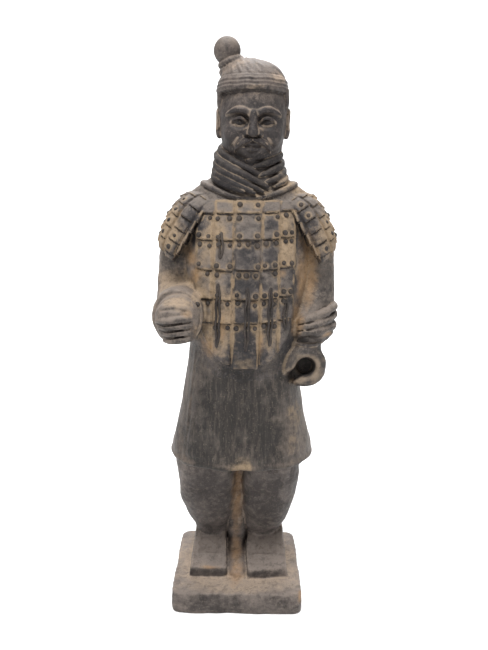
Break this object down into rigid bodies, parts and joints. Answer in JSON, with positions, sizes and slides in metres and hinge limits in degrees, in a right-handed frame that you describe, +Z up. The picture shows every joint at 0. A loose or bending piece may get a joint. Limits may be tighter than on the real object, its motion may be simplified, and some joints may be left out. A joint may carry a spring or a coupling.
{
  "type": "warrior figurine",
  "caption": "Fired-clay figurine of an ancient armoured foot soldier standing on a square plinth, with one fist held forward and a socketed hand at the hip; an ornament for a shelf or a garden.",
  "frame": {"origin": "centre of the plinth's underside", "axes": "+Z up, -Y out of the figure's front, +X to the figure's left"},
  "size_m": [0.1215, 0.1044, 0.38],
  "materials": {
    "clay": "matt fired grey-brown clay with ochre dust in its hollows and bare orange terracotta where the slip has worn"
  },
  "bodies": {
    "root": {"warrior_statue": "clay"}
  },
  "joints": []
}
